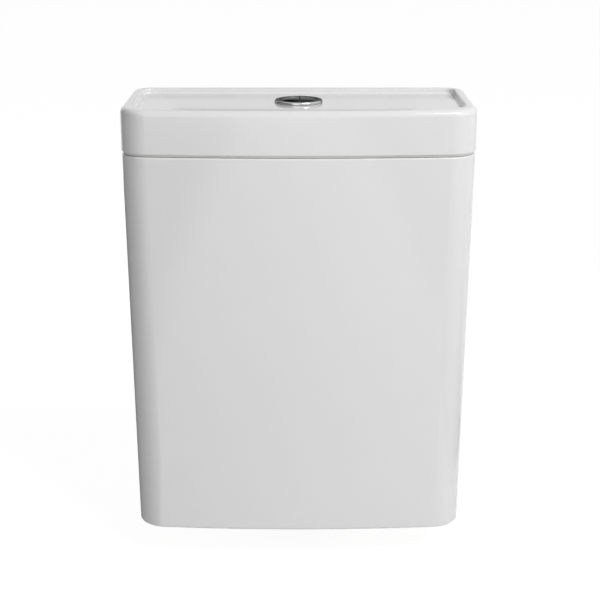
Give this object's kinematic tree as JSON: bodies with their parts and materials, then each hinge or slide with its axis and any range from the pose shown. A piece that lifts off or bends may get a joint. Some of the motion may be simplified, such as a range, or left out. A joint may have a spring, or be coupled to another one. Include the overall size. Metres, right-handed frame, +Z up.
{
  "type": "toilet cistern",
  "caption": "Close-coupled ceramic toilet cistern with lift-off lid, round dual flush button, flush valve, float fill valve and pan studs.",
  "frame": {"origin": "centre of the outlet on the underside of the cistern's base", "axes": "+X to the right seen from the front, +Y to the wall behind, +Z up"},
  "size_m": [0.3412, 0.1575, 0.468],
  "materials": {
    "vitreous_china": "glossy white glaze",
    "chrome": "polished",
    "white_plastic": "moulded satin",
    "grey_plastic": "moulded satin",
    "blue_plastic": "moulded satin",
    "black_rubber": "matte",
    "red_silicone": "matte",
    "plated_steel": "zinc plated"
  },
  "bodies": {
    "cistern": {"cistern_body": "vitreous_china", "lid_pads": "black_rubber", "flush_valve_base": "white_plastic", "flush_valve_washer": "black_rubber", "flush_valve_backnut": "grey_plastic", "coupling_gasket": "black_rubber", "flush_valve_tower": "white_plastic", "flush_valve_head": "blue_plastic", "rocker_pin": "plated_steel", "rocker_bushes": "white_plastic", "fill_valve_riser": "white_plastic", "fill_valve_washer": "black_rubber", "fill_valve_backnut": "white_plastic", "inlet_filter": "blue_plastic", "fill_valve_head": "white_plastic", "fill_diaphragm": "black_rubber", "fill_valve_cap": "blue_plastic", "float_lever_pin": "plated_steel", "delivery_tube": "white_plastic", "blanking_plug": "white_plastic", "blanking_washer": "black_rubber", "blanking_nut": "white_plastic", "pan_studs": "plated_steel", "stud_cone_washers": "black_rubber", "stud_washers": "plated_steel", "stud_nuts": "plated_steel"},
    "lid": {"cistern_lid": "vitreous_china", "button_bezel": "chrome", "bezel_gasket": "black_rubber", "bezel_ring_nut": "white_plastic", "full_button_spring": "plated_steel", "half_button_spring": "plated_steel"},
    "full_button": {"full_flush_button": "chrome", "full_push_rod": "white_plastic", "full_rod_nut": "grey_plastic"},
    "half_button": {"half_flush_button": "chrome", "half_push_rod": "white_plastic", "half_rod_nut": "grey_plastic"},
    "full_rocker": {"full_flush_rocker": "grey_plastic"},
    "half_rocker": {"half_flush_rocker": "grey_plastic"},
    "plunger": {"overflow_tube": "grey_plastic", "seal_holder": "blue_plastic", "valve_seal": "red_silicone"},
    "half_float": {"half_flush_rod": "grey_plastic", "half_flush_float": "blue_plastic"},
    "fill_float": {"fill_float": "grey_plastic", "float_rod": "white_plastic", "float_rod_collars": "blue_plastic"},
    "float_lever": {"float_lever": "grey_plastic"}
  },
  "joints": [
    {"name": "lid_lift", "type": "slide", "parent": "cistern", "child": "lid", "axis": [0, 0, 1], "range_m": [0, 0.2]},
    {"name": "full_button_press", "type": "slide", "parent": "lid", "child": "full_button", "axis": [0, 0, -1], "range_m": [0, 0.008], "stiffness_N_per_m": 500, "springref_m": -0.006, "deforming": ["full_button_spring"]},
    {"name": "half_button_press", "type": "slide", "parent": "lid", "child": "half_button", "axis": [0, 0, -1], "range_m": [0, 0.008], "stiffness_N_per_m": 500, "springref_m": -0.006, "deforming": ["half_button_spring"]},
    {"name": "full_rocker_turn", "type": "hinge", "parent": "cistern", "child": "full_rocker", "pos_m": [-0.0085, 0.0165, 0.306], "axis": [1, 0, 0], "range_deg": [0, 20.96]},
    {"name": "half_rocker_turn", "type": "hinge", "parent": "cistern", "child": "half_rocker", "pos_m": [0.0085, 0.0165, 0.306], "axis": [1, 0, 0], "range_deg": [0, 20.96]},
    {"name": "plunger_lift", "type": "slide", "parent": "cistern", "child": "plunger", "axis": [0, 0, 1], "range_m": [0, 0.00728]},
    {"name": "half_float_lift", "type": "slide", "parent": "cistern", "child": "half_float", "axis": [0, 0, 1], "range_m": [0, 0.00728]},
    {"name": "fill_float_rise", "type": "slide", "parent": "cistern", "child": "fill_float", "axis": [0, 0, 1], "range_m": [0, 0.014]},
    {"name": "float_lever_turn", "type": "hinge", "parent": "cistern", "child": "float_lever", "pos_m": [-0.115, 0.016, 0.305], "axis": [-1, 0, 0], "range_deg": [0, 19.2]}
  ],
  "couplings": [
    {"joint": "full_rocker_turn", "follows": "full_button_press", "rad_per_m": 45.709},
    {"joint": "half_rocker_turn", "follows": "half_button_press", "rad_per_m": 45.709},
    {"joint": "plunger_lift", "follows": "full_button_press", "ratio": 0.90909},
    {"joint": "half_float_lift", "follows": "half_button_press", "ratio": 0.90909},
    {"joint": "float_lever_turn", "follows": "fill_float_rise", "rad_per_m": 23.921}
  ]
}
